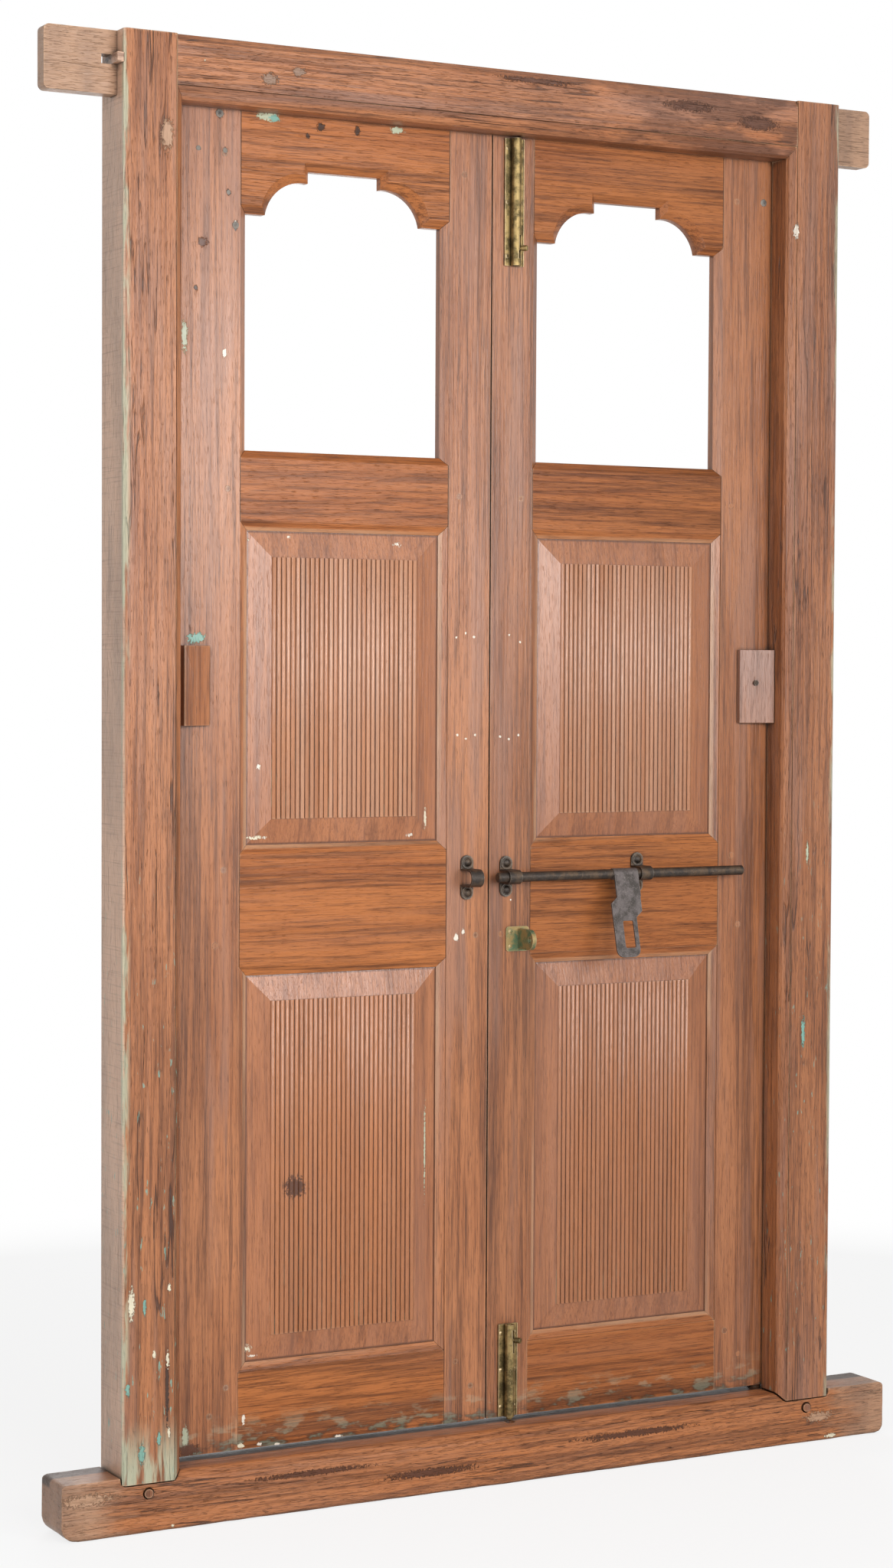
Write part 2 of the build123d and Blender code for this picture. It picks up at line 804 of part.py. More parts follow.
def slide_bar():
    """The round bar, drawn back, with a neck that the hasp turns on."""
    tip, tail = drawn(bar_thrown_tip), drawn(bar_thrown_tip + bar_length)
    bar = rod_x(bar_y, bar_height, bar_radius, tip, tail)
    bar = chamfer(bar.edges().filter_by(GeomType.CIRCLE), bar_chamfer)
    n0 = drawn(hasp_knuckle_start) - hasp_gap
    n1 = drawn(hasp_knuckle_start + hasp_knuckle_width) + hasp_gap
    sleeve = rod_x(bar_y, bar_height, bar_radius + 1, n0, n1)
    return bar - (sleeve - rod_x(bar_y, bar_height, bar_neck_radius, n0, n1))


def hasp():
    """The hasp: a strip wrapped round the bar's neck, hanging as a slotted plate."""
    x0 = drawn(hasp_knuckle_start)
    x1 = x0 + hasp_knuckle_width
    inner = bar_neck_radius + hasp_gap
    outer = inner + hasp_thickness
    y_out, y_in = bar_y - outer, bar_y - inner
    z = bar_height
    left = x0 - hasp_left_flare
    right = x1 - hasp_right_inset
    waist = right - hasp_waist_inset
    outline = [
        (x0, z),
        (x0, z - hasp_neck_drop),
        (left, z - hasp_neck_drop - hasp_chamfer),
        (left, z - hasp_drop),
        (waist, z - hasp_drop),
        (waist, z - hasp_waist_drop - hasp_chamfer),
        (right, z - hasp_waist_drop),
        (right, z - hasp_neck_drop),
        (x1, z - hasp_neck_drop),
        (x1, z),
    ]
    plate = front_prism(outline, y_out, y_in)
    foot = plate.edges().filter_by(Axis.Y).filter_by_position(Axis.Z, z - hasp_drop - 1, z - hasp_drop + 1)
    plate = fillet(foot, hasp_end_radius)
    plate += rod_x(bar_y, z, outer, x0, x1)
    plate -= rod_x(bar_y, z, inner, x0 - 1, x1 + 1)
    s0 = left + slot_from_left
    s_top = z - slot_top_drop
    slot = box(s0, s0 + slot_width, y_out - 1, y_in + 1, s_top - slot_height, s_top)
    plate -= fillet(slot.edges().filter_by(Axis.Y), slot_corner)
    return plate.rotate(Axis((x0, bar_y, z), (-1, 0, 0)), hasp_lift)


staple_x = hasp_knuckle_start - hasp_left_flare + slot_from_left + slot_width / 2
staple_z = bar_height - slot_top_drop - slot_height / 2


def staple_body(grow):
    """The eye that stands through the hasp's slot, with the tang that holds it in the leaf."""
    half = staple_thickness / 2 + grow
    outer = bar_stand_off + bar_neck_radius + hasp_gap + hasp_thickness + staple_proud
    nose = leaf_front - outer + staple_height / 2
    radius = staple_height / 2
    eye = box(staple_x - half, staple_x + half, nose, leaf_front, staple_z - radius, staple_z + radius)
    eye += rod_x(nose, staple_z, radius, staple_x - half, staple_x + half)
    tang = staple_tang_height / 2 + grow
    end = leaf_front + staple_tang_length + grow
    seat = leaf_front - staple_plate_thickness
    stem = box(staple_x - half, staple_x + half, seat - 1, end, staple_z - tang, staple_z + tang)
    if grow:
        return stem
    x0, x1 = staple_x - half - 1, staple_x + half + 1
    eye -= rod_x(nose - staple_eye_forward, staple_z, staple_eye_radius, x0, x1)
    eye -= box(x0, x1, seat, end + 1, staple_z - staple_height, staple_z + staple_height)
    return eye + stem


def staple_plate():
    """The brass plate on the leaf that the staple stands in."""
    x0 = staple_x - staple_plate_side
    z0 = staple_z - staple_plate_height / 2
    y0 = leaf_front - staple_plate_thickness
    plate = box(x0, x0 + staple_plate_width, y0, leaf_front, z0, z0 + staple_plate_height)
    plate = fillet(plate.edges().filter_by(Axis.Y), staple_plate_corner)
    plate -= staple_body(rivet_gap)
    for pin in plate_pins(rivet_gap):
        plate -= pin
    return plate


def plate_pins(grow):
    """Two small pins through the staple's plate."""
    x = staple_x - staple_plate_side + plate_pin_inset
    seat = leaf_front - staple_plate_thickness
    found = []
    for up in (-1, 1):
        z = staple_z + up * (staple_plate_height / 2 - plate_pin_inset)
        pin = rod_y(x, z, plate_pin_radius + grow, seat - 0.5, leaf_front + plate_pin_length + grow)
        if not grow:
            pin += dome(x, z, seat, plate_pin_head, plate_pin_head_height)
        found.append(pin)
    return found


# Tower bolts

def bolt_lines(top):
    """Low end, high end, knob height and socket side of a tower bolt when it is drawn."""
    if top:
        high = head_nosing - bolt_end_gap - bolt_tip_proud
        low = high - top_bolt_length
        return low, high, low + top_knob_from_end, 1
    low = leaf_bottom + bolt_foot_gap
    high = low + bottom_bolt_length
    return low, high, high - bottom_knob_from_end, -1


def knob_direction():
    turn = radians(knob_turn)
    return Vector(sin(turn), -cos(turn), 0)


def bolt_plate(top):
    """The brass plate with the barrel formed on it, slotted for the knob."""
    low, high, knob, up = bolt_lines(top)
    x0, x1 = bolt_x - bolt_plate_width / 2, bolt_x + bolt_plate_width / 2
    y0 = leaf_front - bolt_plate_thickness
    plate = box(x0, x1, y0, leaf_front, low, high)
    for x in (x0, x1 - bolt_flange_bead):
        plate += box(x, x + bolt_flange_bead, y0 - bolt_flange_bead, leaf_front, low, high)
    plate += rod_z(bolt_x, bolt_y, bolt_barrel_radius, low, high)
    plate += box(bolt_x - bolt_web_half, bolt_x + bolt_web_half, bolt_y, leaf_front, low, high)
    plate -= rod_z(bolt_x, bolt_y, bolt_rod_radius + bolt_rod_gap, low - 1, high + 1)
    s = knob_stem_radius + knob_slot_gap
    z0, z1 = sorted((knob - up * s, knob + up * (bolt_travel + s)))
    slot = box(-s, s, -bolt_barrel_radius * 2, 0, z0, z1)
    z0, z1 = sorted((knob - up * knob_window_length, knob - up * s))
    window = box(-knob_window_half, knob_window_half, -bolt_barrel_radius * 2, -1, z0, z1)
    turned = Pos(bolt_x, bolt_y, 0) * Rot(0, 0, knob_turn)
    plate -= turned * slot
    plate -= turned * window
    for screw in bolt_screws(top, rivet_gap):
        plate -= screw
    return plate


def bolt_rod(top):
    """The sliding rod, drawn back, with a seat for the knob's stem."""
    low, high, knob, up = bolt_lines(top)
    tip = (head_nosing - bolt_end_gap) if top else (sill_top + bolt_end_gap)
    tail = knob - up * bolt_tail
    rod = rod_z(bolt_x, bolt_y, bolt_rod_radius, *sorted((tip, tail)))
    rod = chamfer(rod.edges().filter_by(GeomType.CIRCLE), bolt_rod_chamfer)
    return rod - knob_shape(top, rivet_gap)


def knob_shape(top, grow):
    """The turned knob: a thin stem set in the rod and a rounded head."""
    knob = bolt_lines(top)[2]
    way = knob_direction()
    start = Vector(bolt_x, bolt_y, knob)
    if grow:
        return Solid.make_cylinder(knob_stem_radius + grow, knob_reach, Plane(start, z_dir=way))
    foot = Plane(start + way * rivet_gap, z_dir=way)
    seat = Plane(start + way * (bolt_barrel_radius + knob_head_stand_off), z_dir=way)
    stem = Solid.make_cylinder(knob_stem_radius, knob_reach, foot)
    cap = Part(Solid.make_cylinder(knob_radius, knob_head_length, seat).wrapped)
    return fillet(cap.edges().filter_by(GeomType.CIRCLE), knob_round) + stem


def bolt_screws(top, grow):
    """Three screws down each flange of a tower bolt."""
    low, high, _, _ = bolt_lines(top)
    seat = leaf_front - bolt_plate_thickness
    found = []
    for side in (-1, 1):
        x = bolt_x + side * (bolt_plate_width / 2 - screw_inset - bolt_flange_bead / 2)
        for z in (low + screw_end_inset, (low + high) / 2, high - screw_end_inset):
            screw = rod_y(x, z, screw_radius + grow, seat - 0.4, leaf_front + screw_length + grow)
            if not grow:
                screw += dome(x, z, seat, screw_head_radius, screw_head_height)
            found.append(screw)
    return found


# Hardware holes in the two leaves

def hardware_holes(side):
    """The holes that the ironwork and brasswork need in a leaf, in their own places."""
    if side == "left":
        return strap_rivets(keeper_x, keeper_gap, rivet_gap)
    holes = [r for x in (middle_strap_x, end_strap_x) for r in strap_rivets(x, strap_gap, rivet_gap)]
    holes += plate_pins(rivet_gap) + [staple_body(rivet_gap), block_nail(peg_gap)]
    return holes + bolt_screws(True, rivet_gap) + bolt_screws(False, rivet_gap)


def near(hole, part):
    """True where a hole's box meets a part's box."""
    a, b = hole.bounding_box(), part.bounding_box()
    return all(
        getattr(a.min, k) < getattr(b.max, k) and getattr(b.min, k) < getattr(a.max, k)
        for k in ("X", "Y", "Z")
    )


def drilled(part, side, holes):
    """A leaf member in its place, with the holes that fall in it."""
    part = on_side(part, side)
    for hole in holes:
        if near(hole, part):
            part -= hole
    return part


def build_frame():
    for side in ("left", "right"):
        save(f"{side}_jamb", jamb(side))
    save("head", head())
    save("sill", sill())
    save("left_head_wedge", head_wedge())
    save("sill_pegs", *[on_side(sill_peg_bore(0), side) for side in ("left", "right")])


def build_leaf(side):
    leaf = Leaf(side)
    holes = hardware_holes(side)
    members = {"hanging_stile": leaf.stile(True), "meeting_stile": leaf.stile(False)}
    members.update(leaf.rails())
    members["lower_panel"] = leaf.panel(*leaf.panels[0])
    members["upper_panel"] = leaf.panel(*leaf.panels[1])
    for name, member in members.items():
        save(f"{side}_{name}", drilled(member, side, holes))
    save(f"{side}_leaf_pegs", *[on_side(peg, side) for peg in leaf.pegs(0)])
    save(f"{side}_wedge_block", on_side(wedge_block(side), side))


def build_slide_bolt():
    save("slide_keeper", strap(keeper_x, keeper_gap))
    save("middle_strap", strap(middle_strap_x, strap_gap))
    save("end_strap", strap(end_strap_x, strap_gap))
    save("keeper_rivets", *strap_rivets(keeper_x, keeper_gap, 0))
    save("keeper_washers", *strap_washers(keeper_x, keeper_gap))
    places = (middle_strap_x, end_strap_x)
    save("strap_rivets", *[r for x in places for r in strap_rivets(x, strap_gap, 0)])
    save("strap_washers", *[w for x in places for w in strap_washers(x, strap_gap)])
    save("slide_bar", slide_bar())
    save("hasp", hasp())
    save("staple", staple_body(0))
    save("staple_plate", staple_plate())
    save("staple_pins", *plate_pins(0))
    save("block_nail", block_nail(0))


def build_tower_bolts():
    for name, top in (("top_bolt", True), ("bottom_bolt", False)):
        save(f"{name}_plate", bolt_plate(top))
        save(f"{name}_rod", bolt_rod(top))
        save(f"{name}_knob", knob_shape(top, 0))
        save(f"{name}_screws", *bolt_screws(top, 0))


build_frame()
for leaf_side in ("left", "right"):
    build_leaf(leaf_side)
build_slide_bolt()
build_tower_bolts()
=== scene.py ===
# An old double-leaf teak door in its own frame: its finish, wear and small marks, with light and camera.
# Metres. X runs to the right as seen from the front, Y runs to the back, Z is up.
import math
import random

import bmesh
import bpy
from mathutils import Matrix, Vector, noise


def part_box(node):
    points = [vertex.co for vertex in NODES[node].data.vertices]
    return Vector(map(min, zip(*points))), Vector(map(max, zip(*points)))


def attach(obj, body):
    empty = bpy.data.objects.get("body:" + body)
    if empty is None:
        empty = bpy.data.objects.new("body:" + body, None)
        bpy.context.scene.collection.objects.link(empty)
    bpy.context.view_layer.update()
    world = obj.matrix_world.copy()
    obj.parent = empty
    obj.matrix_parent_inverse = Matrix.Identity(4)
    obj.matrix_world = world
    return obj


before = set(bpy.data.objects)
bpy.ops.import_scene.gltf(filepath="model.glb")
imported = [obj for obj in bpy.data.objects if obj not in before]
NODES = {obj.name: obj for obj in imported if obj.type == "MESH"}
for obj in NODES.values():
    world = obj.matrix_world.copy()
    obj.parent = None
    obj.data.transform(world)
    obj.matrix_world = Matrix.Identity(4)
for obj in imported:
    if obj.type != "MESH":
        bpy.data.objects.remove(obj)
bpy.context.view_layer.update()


LEAF_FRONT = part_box("left_lock_rail")[0].y
LEAF_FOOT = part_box("left_bottom_rail")[0].z
FRAME_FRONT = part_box("left_jamb")[0].y
FRAME_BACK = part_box("left_jamb")[1].y
JAMB_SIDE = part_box("right_jamb")[1].x
SILL_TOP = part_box("sill")[1].z

# From a panel's edge to its reeded field, and how much of that edge is hidden in the grooves
PANEL_FRAME = 0.0477
PANEL_RIM = 0.0077
REEDS = 31
# Width of the moulding on the edges of the stiles
STICKING = 0.015

# Camera, matched to the photograph
CAMERA_PLACE = Vector((-2.4077, -4.3453, 1.3109))
CAMERA_YAW = math.radians(28.241)
CAMERA_PITCH = math.radians(2.176)
CAMERA_ROLL = math.radians(0.289)
CAMERA_LENS = 71.39
CAMERA_REACH = 100
SENSOR = 36.0

# Lamps: place, the point that each faces, width and height, and watts
LAMPS = {
    "front_box": ((-1.0, -4.1, 2.0), (-0.3, 0, 1.4), (1.2, 1.7), 46),
    "slope_box": ((-0.1, -3.9, 1.65), (-0.3, 0, 1.3), (0.6, 1.1), 20),
    "left_box": ((-3.0, -2.4, 2.1), (-0.3, 0, 1.2), (1.4, 2.2), 44),
    "sheen_box": ((1.15, -3.9, 1.95), (-0.5, 0, 1.6), (1.5, 1.3), 62),
    "back_box": ((1.2, 4.2, 2.6), (0, 0, 1.1), (2.0, 2.0), 45),
}
WORLD_STRENGTH = 0.33
WHITE = (1, 1, 1, 1)

# The floor: half its width, how white it shows beside the door, and where it fades to full white
FLOOR_REACH = 60
FLOOR_WHITE = 0.8
FLOOR_FADE = (0.9, 2.6)
FLOOR_DARK = (0.86, 0.86, 0.855, 1)
FLOOR_LIGHT = (0.9, 0.9, 0.895, 1)

# Rays that look for corners and edges, and how far they look for a worn arris, for the painted shade in a
# metal's corners and for its rubbed edges
EDGE_SAMPLES = 4
WORN_REACH = 0.0045
METAL_SHADE_REACH = 0.006
METAL_EDGE = 0.0016
# Width of the softened arrises
FRAME_ARRIS = 0.0012
LEAF_ARRIS = 0.0007
# The worn sill: the size of its cells, its deepest wear, and each hollow's width and share of that wear
SILL_CELL = 0.003
SILL_WEAR = 0.0035
HOLLOWS = ((0.16, 0.7), (0.035, 0.3))


def srgb(red, green, blue):
    """A colour as the eye reads it, 0 to 255, turned into the shader's linear values."""
    def linear(value):
        value /= 255
        return value / 12.92 if value <= 0.04045 else ((value + 0.055) / 1.055) ** 2.4
    return (linear(red), linear(green), linear(blue), 1.0)


# Colours
TEAK = srgb(148, 88, 49)
TEAK_ORANGE = srgb(153, 88, 46)
TEAK_PINK = srgb(177, 115, 74)
TEAK_GOLD = srgb(176, 108, 60)
TEAK_DARK = srgb(88, 50, 29)
TEAK_LINE = srgb(72, 38, 22)
PORE = srgb(58, 34, 24)
RAW_TAN = srgb(206, 168, 142)
RAW_GREY = srgb(178, 146, 124)
HORN_TAN = srgb(176, 138, 110)
HORN_GREY = srgb(140, 110, 90)
MAUVE = srgb(152, 112, 94)
ARRIS = srgb(206, 168, 134)
REED_HIGHLIGHT = srgb(204, 156, 126)
# Grime colour, also used as painted shade in corners and under the leaves
GRIME_AND_SHADE = srgb(46, 33, 26)
CREAM = srgb(222, 212, 186)
FILLER = srgb(226, 216, 200)
TURQUOISE = srgb(122, 166, 152)
PALE_GREEN = srgb(178, 184, 158)
SLATE = srgb(84, 84, 82)
STAIN = srgb(66, 44, 33)
IRON = srgb(62, 56, 52)
IRON_BROWN = srgb(92, 76, 62)
IRON_BRIGHT = srgb(150, 142, 132)
HASP = srgb(94, 86, 84)
HASP_PALE = srgb(142, 132, 126)
BRASS = srgb(150, 128, 84)
BRASS_PALE = srgb(206, 184, 148)
BRASS_DARK = srgb(84, 72, 44)
VERDIGRIS = srgb(86, 112, 84)

# Every noise by name: its scale per metre, its shift, its detail and its roughness.
# Those of the grain have the grain along their third axis.
GRAIN = {
    "warp": ((5, 5, 1.1), (0, 0, 0), 2, 0.45),
    "fine_warp": ((45, 45, 3.2), (0, 0, 0), 3, 0.6),
    "blotch": ((9, 9, 2.2), (0, 0, 0), 4, 0.6),
    "board": ((34, 34, 0.9), (0, 0, 0), 3, 0.6),
    "streak": ((150, 150, 3.5), (0, 0, 0), 4, 0.62),
    "fibre": ((560, 560, 14), (0, 0, 0), 3, 0.65),
    "pores": ((1300, 1300, 55), (0, 0, 0), 2, 0.5),
    "soot": ((22, 22, 4), (3, 1, 7), 5, 0.7),
    "line": ((30, 30, 1.3), (5, 8, 2), 3, 0.62),
    "sheen_veil": ((26, 26, 1.6), (9, 4, 1), 3, 0.6),
}
SPECKLES = {
    "ragged_edge": ((300, 300, 240), (0, 0, 0), 4, 0.7),
    "reed_flakes": ((70, 70, 12), (3, 4, 6), 4, 0.62),
    "saw_marks": ((30, 9, 420), (0, 0, 0), 3, 0.6),
    "raw_clouds": ((12, 12, 3), (0, 0, 0), 4, 0.6),
    "horn_drift": ((14, 14, 60), (1, 2, 3), 4, 0.6),
    "head_clouds": ((9, 9, 30), (2, 3, 8), 4, 0.62),
    "jamb_flakes": ((60, 60, 7), (4, 2, 9), 4, 0.62),
    "jamb_chips": ((170, 170, 34), (1, 6, 2), 3, 0.6),
    "foot_flakes": ((26, 26, 60), (2, 5, 1), 4, 0.6),
    "metal_clouds": ((60, 60, 60), (0, 0, 0), 5, 0.65),
    "metal_pits": ((700, 700, 700), (0, 0, 0), 3, 0.6),
    "floor_grit": ((90, 90, 90), (0, 0, 0), 4, 0.6),
}


class Graph:
    """A short way to write the nodes of a material or a world."""

    def __init__(self, owner):
        self.owner = owner
        owner.use_nodes = True
        self.tree = owner.node_tree
        self.tree.nodes.clear()

    def node(self, kind, settings=None, **inputs):
        made = self.tree.nodes.new(kind)
        for key, value in (settings or {}).items():
            setattr(made, key, value)
        for key, value in inputs.items():
            self.put(made.inputs[key.replace("_", " ")], value)
        return made

    def put(self, socket, value):
        if isinstance(value, bpy.types.NodeSocket):
            self.tree.links.new(value, socket)
        else:
            socket.default_value = value

    def math(self, operation, *values):
        made = self.node("ShaderNodeMath", {"operation": operation})
        for socket, value in zip(made.inputs, values):
            self.put(socket, value)
        return made.outputs[0]

    def product(self, *values):
        result = values[0]
        for value in values[1:]:
            result = self.math("MULTIPLY", result, value)
        return result

    def away(self, value, middle):
        """How far value is from middle."""
        return self.math("ABSOLUTE", self.math("SUBTRACT", value, middle))

    def band(self, value, low, high):
        """0 below low and 1 above high, with a smooth step between, or the other way round."""
        made = self.node("ShaderNodeMapRange", {"interpolation_type": "SMOOTHSTEP"})
        for socket, number in zip(made.inputs, (value, low, high)):
            self.put(socket, number)
        return made.outputs[0]

    def mix(self, factor, a, b):
        made = self.node("ShaderNodeMix", {"data_type": "RGBA"})
        for socket, value in zip((made.inputs[0], made.inputs[6], made.inputs[7]), (factor, a, b)):
            self.put(socket, value)
        return made.outputs[2]

    def cover(self, colour, paint, *amounts):
        """colour with paint over it, as much as the product of the amounts."""
        return self.mix(self.product(*amounts), colour, paint)

    def mix_shaders(self, factor, a, b):
        made = self.node("ShaderNodeMixShader")
        for socket, value in zip(made.inputs, (factor, a, b)):
            self.put(socket, value)
        return made.outputs[0]

    def background_rays(self):
        """1 for the rays that show the white background: seen straight, in a reflection or through glass."""
        path = self.node("ShaderNodeLightPath").outputs
        shown = path["Is Camera Ray"]
        for ray in ("Is Glossy Ray", "Is Transmission Ray"):
            shown = self.math("MAXIMUM", shown, path[ray])
        return shown

    def output(self, shader, kind="ShaderNodeOutputMaterial"):
        self.put(self.node(kind).inputs[0], shader)
        return self.owner


class Surface(Graph):
    """The nodes of one material, with the object's own place at hand."""

    def __init__(self, name):
        super().__init__(bpy.data.materials.new(name))
        self.place = self.node("ShaderNodeTexCoord").outputs["Object"]
        self.x, self.y, self.z = self.node("ShaderNodeSeparateXYZ", Vector=self.place).outputs

    def moved(self, vector, scale, offset=(0, 0, 0)):
        """vector, scaled and then shifted."""
        made = self.node("ShaderNodeVectorMath", {"operation": "MULTIPLY_ADD"})
        for socket, value in zip(made.inputs, (vector, scale, offset)):
            self.put(socket, value)
        return made.outputs[0]

    def length(self, vector):
        return self.node("ShaderNodeVectorMath", {"operation": "LENGTH"}, Vector=vector).outputs["Value"]

    def noise(self, place, scale, shift, detail, roughness):
        made = self.node("ShaderNodeTexNoise", None, Vector=self.moved(place, scale, shift), Scale=1.0,
                         Detail=detail, Roughness=roughness)
        return made.outputs["Fac"]

    def speckle(self, name):
        return self.noise(self.place, *SPECKLES[name])

    def openness(self, reach, inside=False):
        """1 in the open and less in a corner within reach. From inside, it is less along an edge."""
        settings = {"samples": EDGE_SAMPLES, "inside": inside}
        return self.node("ShaderNodeAmbientOcclusion", settings, Distance=reach).outputs["AO"]

    def patch(self, centre, size, ragged):
        """A ragged spot round a point: 1 inside and 0 outside."""
        inverse = [1 / s for s in size]
        offset = [-c / s for c, s in zip(centre, size)]
        far = self.length(self.moved(self.place, inverse, offset))
        return self.band(self.math("ADD", far, ragged), 1.0, 0.7)

    def shader(self, colour, roughness, height, depth, metallic=0.0, shine=0.5):
        """The shader, with the height as a bump that is depth metres deep."""
        raised = self.node("ShaderNodeBump", None, Distance=depth, Height=height)
        made = self.node("ShaderNodeBsdfPrincipled", None, Base_Color=colour, Roughness=roughness,
                         Normal=raised.outputs[0], Metallic=metallic, Specular_IOR_Level=shine)
        return made.outputs[0]


# Tones of the timbers: two colours, the rings' number per metre, bend and depth, and how strong the rest is
LEAF_TONE = {"base": TEAK, "light": TEAK_PINK, "rings": 120.0, "figure": 5.0, "ring_depth": 0.3,
             "soot": 0.35, "worn": 0.4, "rough": 0.15, "relief": 0.0004, "shine": 0.5, "cracks": 0.0,
             "mauve_sheen": 0.5, "shade_reach": 0.01, "shade": 0.0}
RAIL_TONE = dict(LEAF_TONE, base=TEAK_ORANGE, light=TEAK_GOLD, rings=75.0, figure=16.0, ring_depth=0.36,
                 shine=0.2, mauve_sheen=0.1)
PANEL_TONE = dict(LEAF_TONE, ring_depth=0.2, worn=0.6, rough=0.14, shine=0.65, mauve_sheen=0.25,
                  shade_reach=0.0035)
FRAME_TONE = dict(LEAF_TONE, rings=85.0, figure=8.0, ring_depth=0.45, soot=0.6, worn=0.9, rough=0.22,
                  relief=0.0011, shine=0.45, cracks=0.8, shade_reach=0.014)
HEAD_TONE = dict(FRAME_TONE, base=TEAK_ORANGE)
SILL_TONE = dict(FRAME_TONE, base=TEAK_GOLD, figure=20.0, rings=60.0, relief=0.0014, shine=0.3, mauve_sheen=0.15)
WEDGE_TONE = dict(FRAME_TONE, base=RAW_GREY, light=RAW_TAN)
PEG_TONE = dict(LEAF_TONE, base=TEAK_DARK)
BLOCK_TONE = {"left": dict(LEAF_TONE, mauve_sheen=0.1),
              "right": dict(LEAF_TONE, base=TEAK_PINK, light=MAUVE)}
# Painted shade: the right leaf and jamb are darkened a little, as the light falls off to the right
SIDE_PAINTED_SHADE = {"left": 0.0, "right": 0.16}

# How much the dark and the light parts of a noise show in the wood
CONTRAST = {"board": (0.6, 0.5), "streak": (0.62, 0.5), "fibre": (0.55, 0.42)}


def grain_maps(graph, along, seed):
    """The noises of one timber, with the grain along an axis, and the coordinate across it."""
    chance = random.Random(seed)
    offset = [chance.uniform(-30, 30) for _ in range(3)]
    order = {"X": (graph.z, graph.y, graph.x), "Z": (graph.x, graph.y, graph.z)}[along]
    turned = graph.node("ShaderNodeCombineXYZ", None, X=order[0], Y=order[1], Z=order[2]).outputs[0]
    place = graph.moved(turned, (1, 1, 1), offset)
    maps = {name: graph.noise(place, *sizes) for name, sizes in GRAIN.items()}
    maps["across"] = graph.node("ShaderNodeSeparateXYZ", None, Vector=place).outputs[0]
    return maps


def growth_rings(graph, maps, tone):
    """Lines that darken slowly and end sharply, where the board is dark."""
    bend = graph.product(maps["warp"], tone["figure"])
    count = graph.math("MULTIPLY_ADD", maps["across"], tone["rings"], bend)
    count = graph.math("MULTIPLY_ADD", maps["fine_warp"], 0.9, count)
    saw = graph.math("FRACT", count)
    rise, fall = graph.band(saw, 0.45, 0.96), graph.band(saw, 1.0, 0.96)
    return graph.product(rise, fall, graph.band(maps["board"], 0.34, 0.6))


def drying_cracks(graph, maps, tone):
    """Thin dark lines along the grain, where the timber is also sooty."""
    line = graph.band(graph.away(maps["line"], 0.5), 0.012, 0.003)
    return graph.product(line, graph.band(maps["soot"], 0.5, 0.58), tone["cracks"])


def wood_colour(graph, maps, tone, ring, crack):
    """The figure of oiled teak, laid on from the broadest to the finest, with patches of painted sheen over
    it.
    """
    colour = graph.mix(graph.band(maps["blotch"], 0.34, 0.66), tone["light"], tone["base"])

    def contrast(colour, name):
        darker, lighter = CONTRAST[name]
        colour = graph.cover(colour, TEAK_DARK, graph.band(maps[name], 0.5, 0.66), darker)
        return graph.cover(colour, tone["light"], graph.band(maps[name], 0.5, 0.36), lighter)

    colour = contrast(contrast(colour, "board"), "streak")
    colour = graph.cover(colour, TEAK_LINE, ring, tone["ring_depth"])
    colour = contrast(colour, "fibre")
    colour = graph.cover(colour, PORE, graph.band(maps["pores"], 0.60, 0.70), 0.5)
    colour = graph.cover(colour, TEAK_LINE, graph.band(maps["soot"], 0.56, 0.76), tone["soot"])
    colour = graph.cover(colour, PORE, crack)
    # Painted sheen: random mauve patches, as strong as the tone says
    return graph.cover(colour, MAUVE, graph.band(maps["sheen_veil"], 0.47, 0.66), tone["mauve_sheen"])


def shade_and_wear(graph, colour, tone, blotch):
    """Painted shade in the corners, in a grime colour, and pale wood where the arrises are rubbed."""
    # Painted shade: darkened in a grime colour where the ambient occlusion finds a corner within reach
    corner = graph.band(graph.openness(tone["shade_reach"]), 0.78, 0.34)
    colour = graph.cover(colour, GRIME_AND_SHADE, corner, 0.88)
    edge = graph.band(graph.openness(WORN_REACH, inside=True), 0.78, 0.45)
    return graph.cover(colour, ARRIS, edge, graph.band(blotch, 0.38, 0.62), tone["worn"])


def marks_over(graph, colour, height, marks):
    """Old paint, filler and stains at their own places, laid over the wood."""
    if not marks:
        return colour, height
    ragged = graph.math("MULTIPLY_ADD", graph.speckle("ragged_edge"), 2.4, -1.15)
    thick = 0.0
    for centre, size, paint in marks:
        spot = graph.patch(centre, size, ragged)
        colour = graph.mix(spot, colour, paint)
        thick = graph.math("MAXIMUM", thick, spot)
    return colour, graph.math("ADD", height, thick)


def teak(name, along, seed, tone, marks=(), extra=None):
    """Old oiled teak of that tone. extra paints what only this piece has, under the painted corner shade,
    the worn arrises and the marks.
    """
    graph = Surface(name)
    maps = grain_maps(graph, along, seed)
    ring = growth_rings(graph, maps, tone)
    crack = drying_cracks(graph, maps, tone)
    colour = wood_colour(graph, maps, tone, ring, crack)
    if extra:
        colour = extra(graph, colour)
    # Painted shade: the right leaf and jamb are mixed towards dark teak
    colour = graph.mix(tone["shade"], colour, TEAK_DARK)
    # Painted corner shade and rubbed arrises
    colour = shade_and_wear(graph, colour, tone, maps["blotch"])
    height = graph.math("MULTIPLY_ADD", maps["fibre"], 0.5, graph.product(maps["streak"], 0.9))
    pore = graph.band(maps["pores"], 0.60, 0.70)
    for lowered, depth in ((pore, -0.5), (ring, -0.3), (crack, -2.0)):
        height = graph.math("MULTIPLY_ADD", lowered, depth, height)
    colour, height = marks_over(graph, colour, height, marks)
    dull = graph.math("MULTIPLY_ADD", maps["blotch"], 0.14, tone["rough"])
    dull = graph.math("MULTIPLY_ADD", maps["streak"], 0.2, dull)
    return graph.output(graph.shader(colour, dull, height, tone["relief"], shine=tone["shine"]))


# Depths behind a panel's front, each from where its paint starts to where it is full
REED_CREST = (0.0019, 0.0006)
REED_VALLEY = (0.0014, 0.0025)
FIELD_DEPTH = (0.0050, 0.0040)
# Distances inside a panel's rim, likewise, and the softness of its field's edge
RIM_LINE = (0.0042, 0.0016)
FIELD_SOFT = 0.0006


